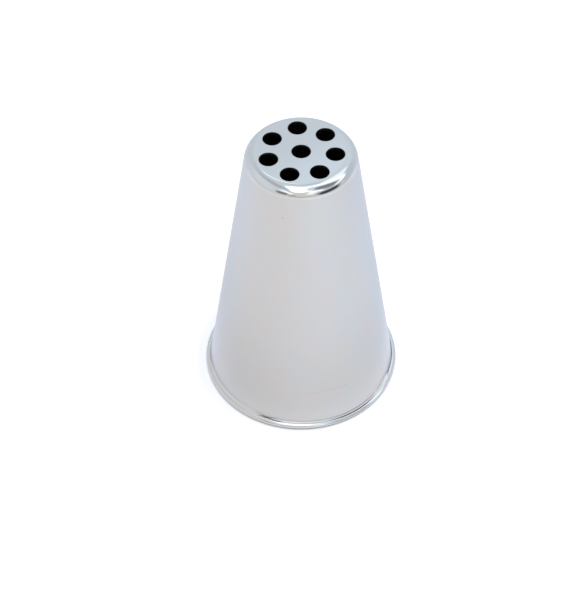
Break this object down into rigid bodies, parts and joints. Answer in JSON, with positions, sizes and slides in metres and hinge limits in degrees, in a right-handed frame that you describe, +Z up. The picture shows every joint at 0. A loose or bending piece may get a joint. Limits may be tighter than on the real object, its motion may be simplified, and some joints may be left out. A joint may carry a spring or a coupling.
{
  "type": "piping nozzle",
  "caption": "Tall conical steel piping nozzle with a flat perforated end for piping many fine strands, such as grass or hair, and a rolled rim that seats in a pastry bag.",
  "frame": {"origin": "centre of the foot circle, on the plane that the rolled rim stands on", "axes": "+Z up the axis from the foot to the perforated end, +Y through the middle of one ring hole"},
  "size_m": [0.03, 0.03, 0.0447],
  "materials": {
    "satin_steel": "satin, with fine marks round the cone",
    "end_steel": "satin flat, with a polished shoulder",
    "rim_steel": "polished curl"
  },
  "bodies": {
    "root": {"cone_wall": "satin_steel", "perforated_end": "end_steel", "rolled_rim": "rim_steel"}
  },
  "joints": []
}
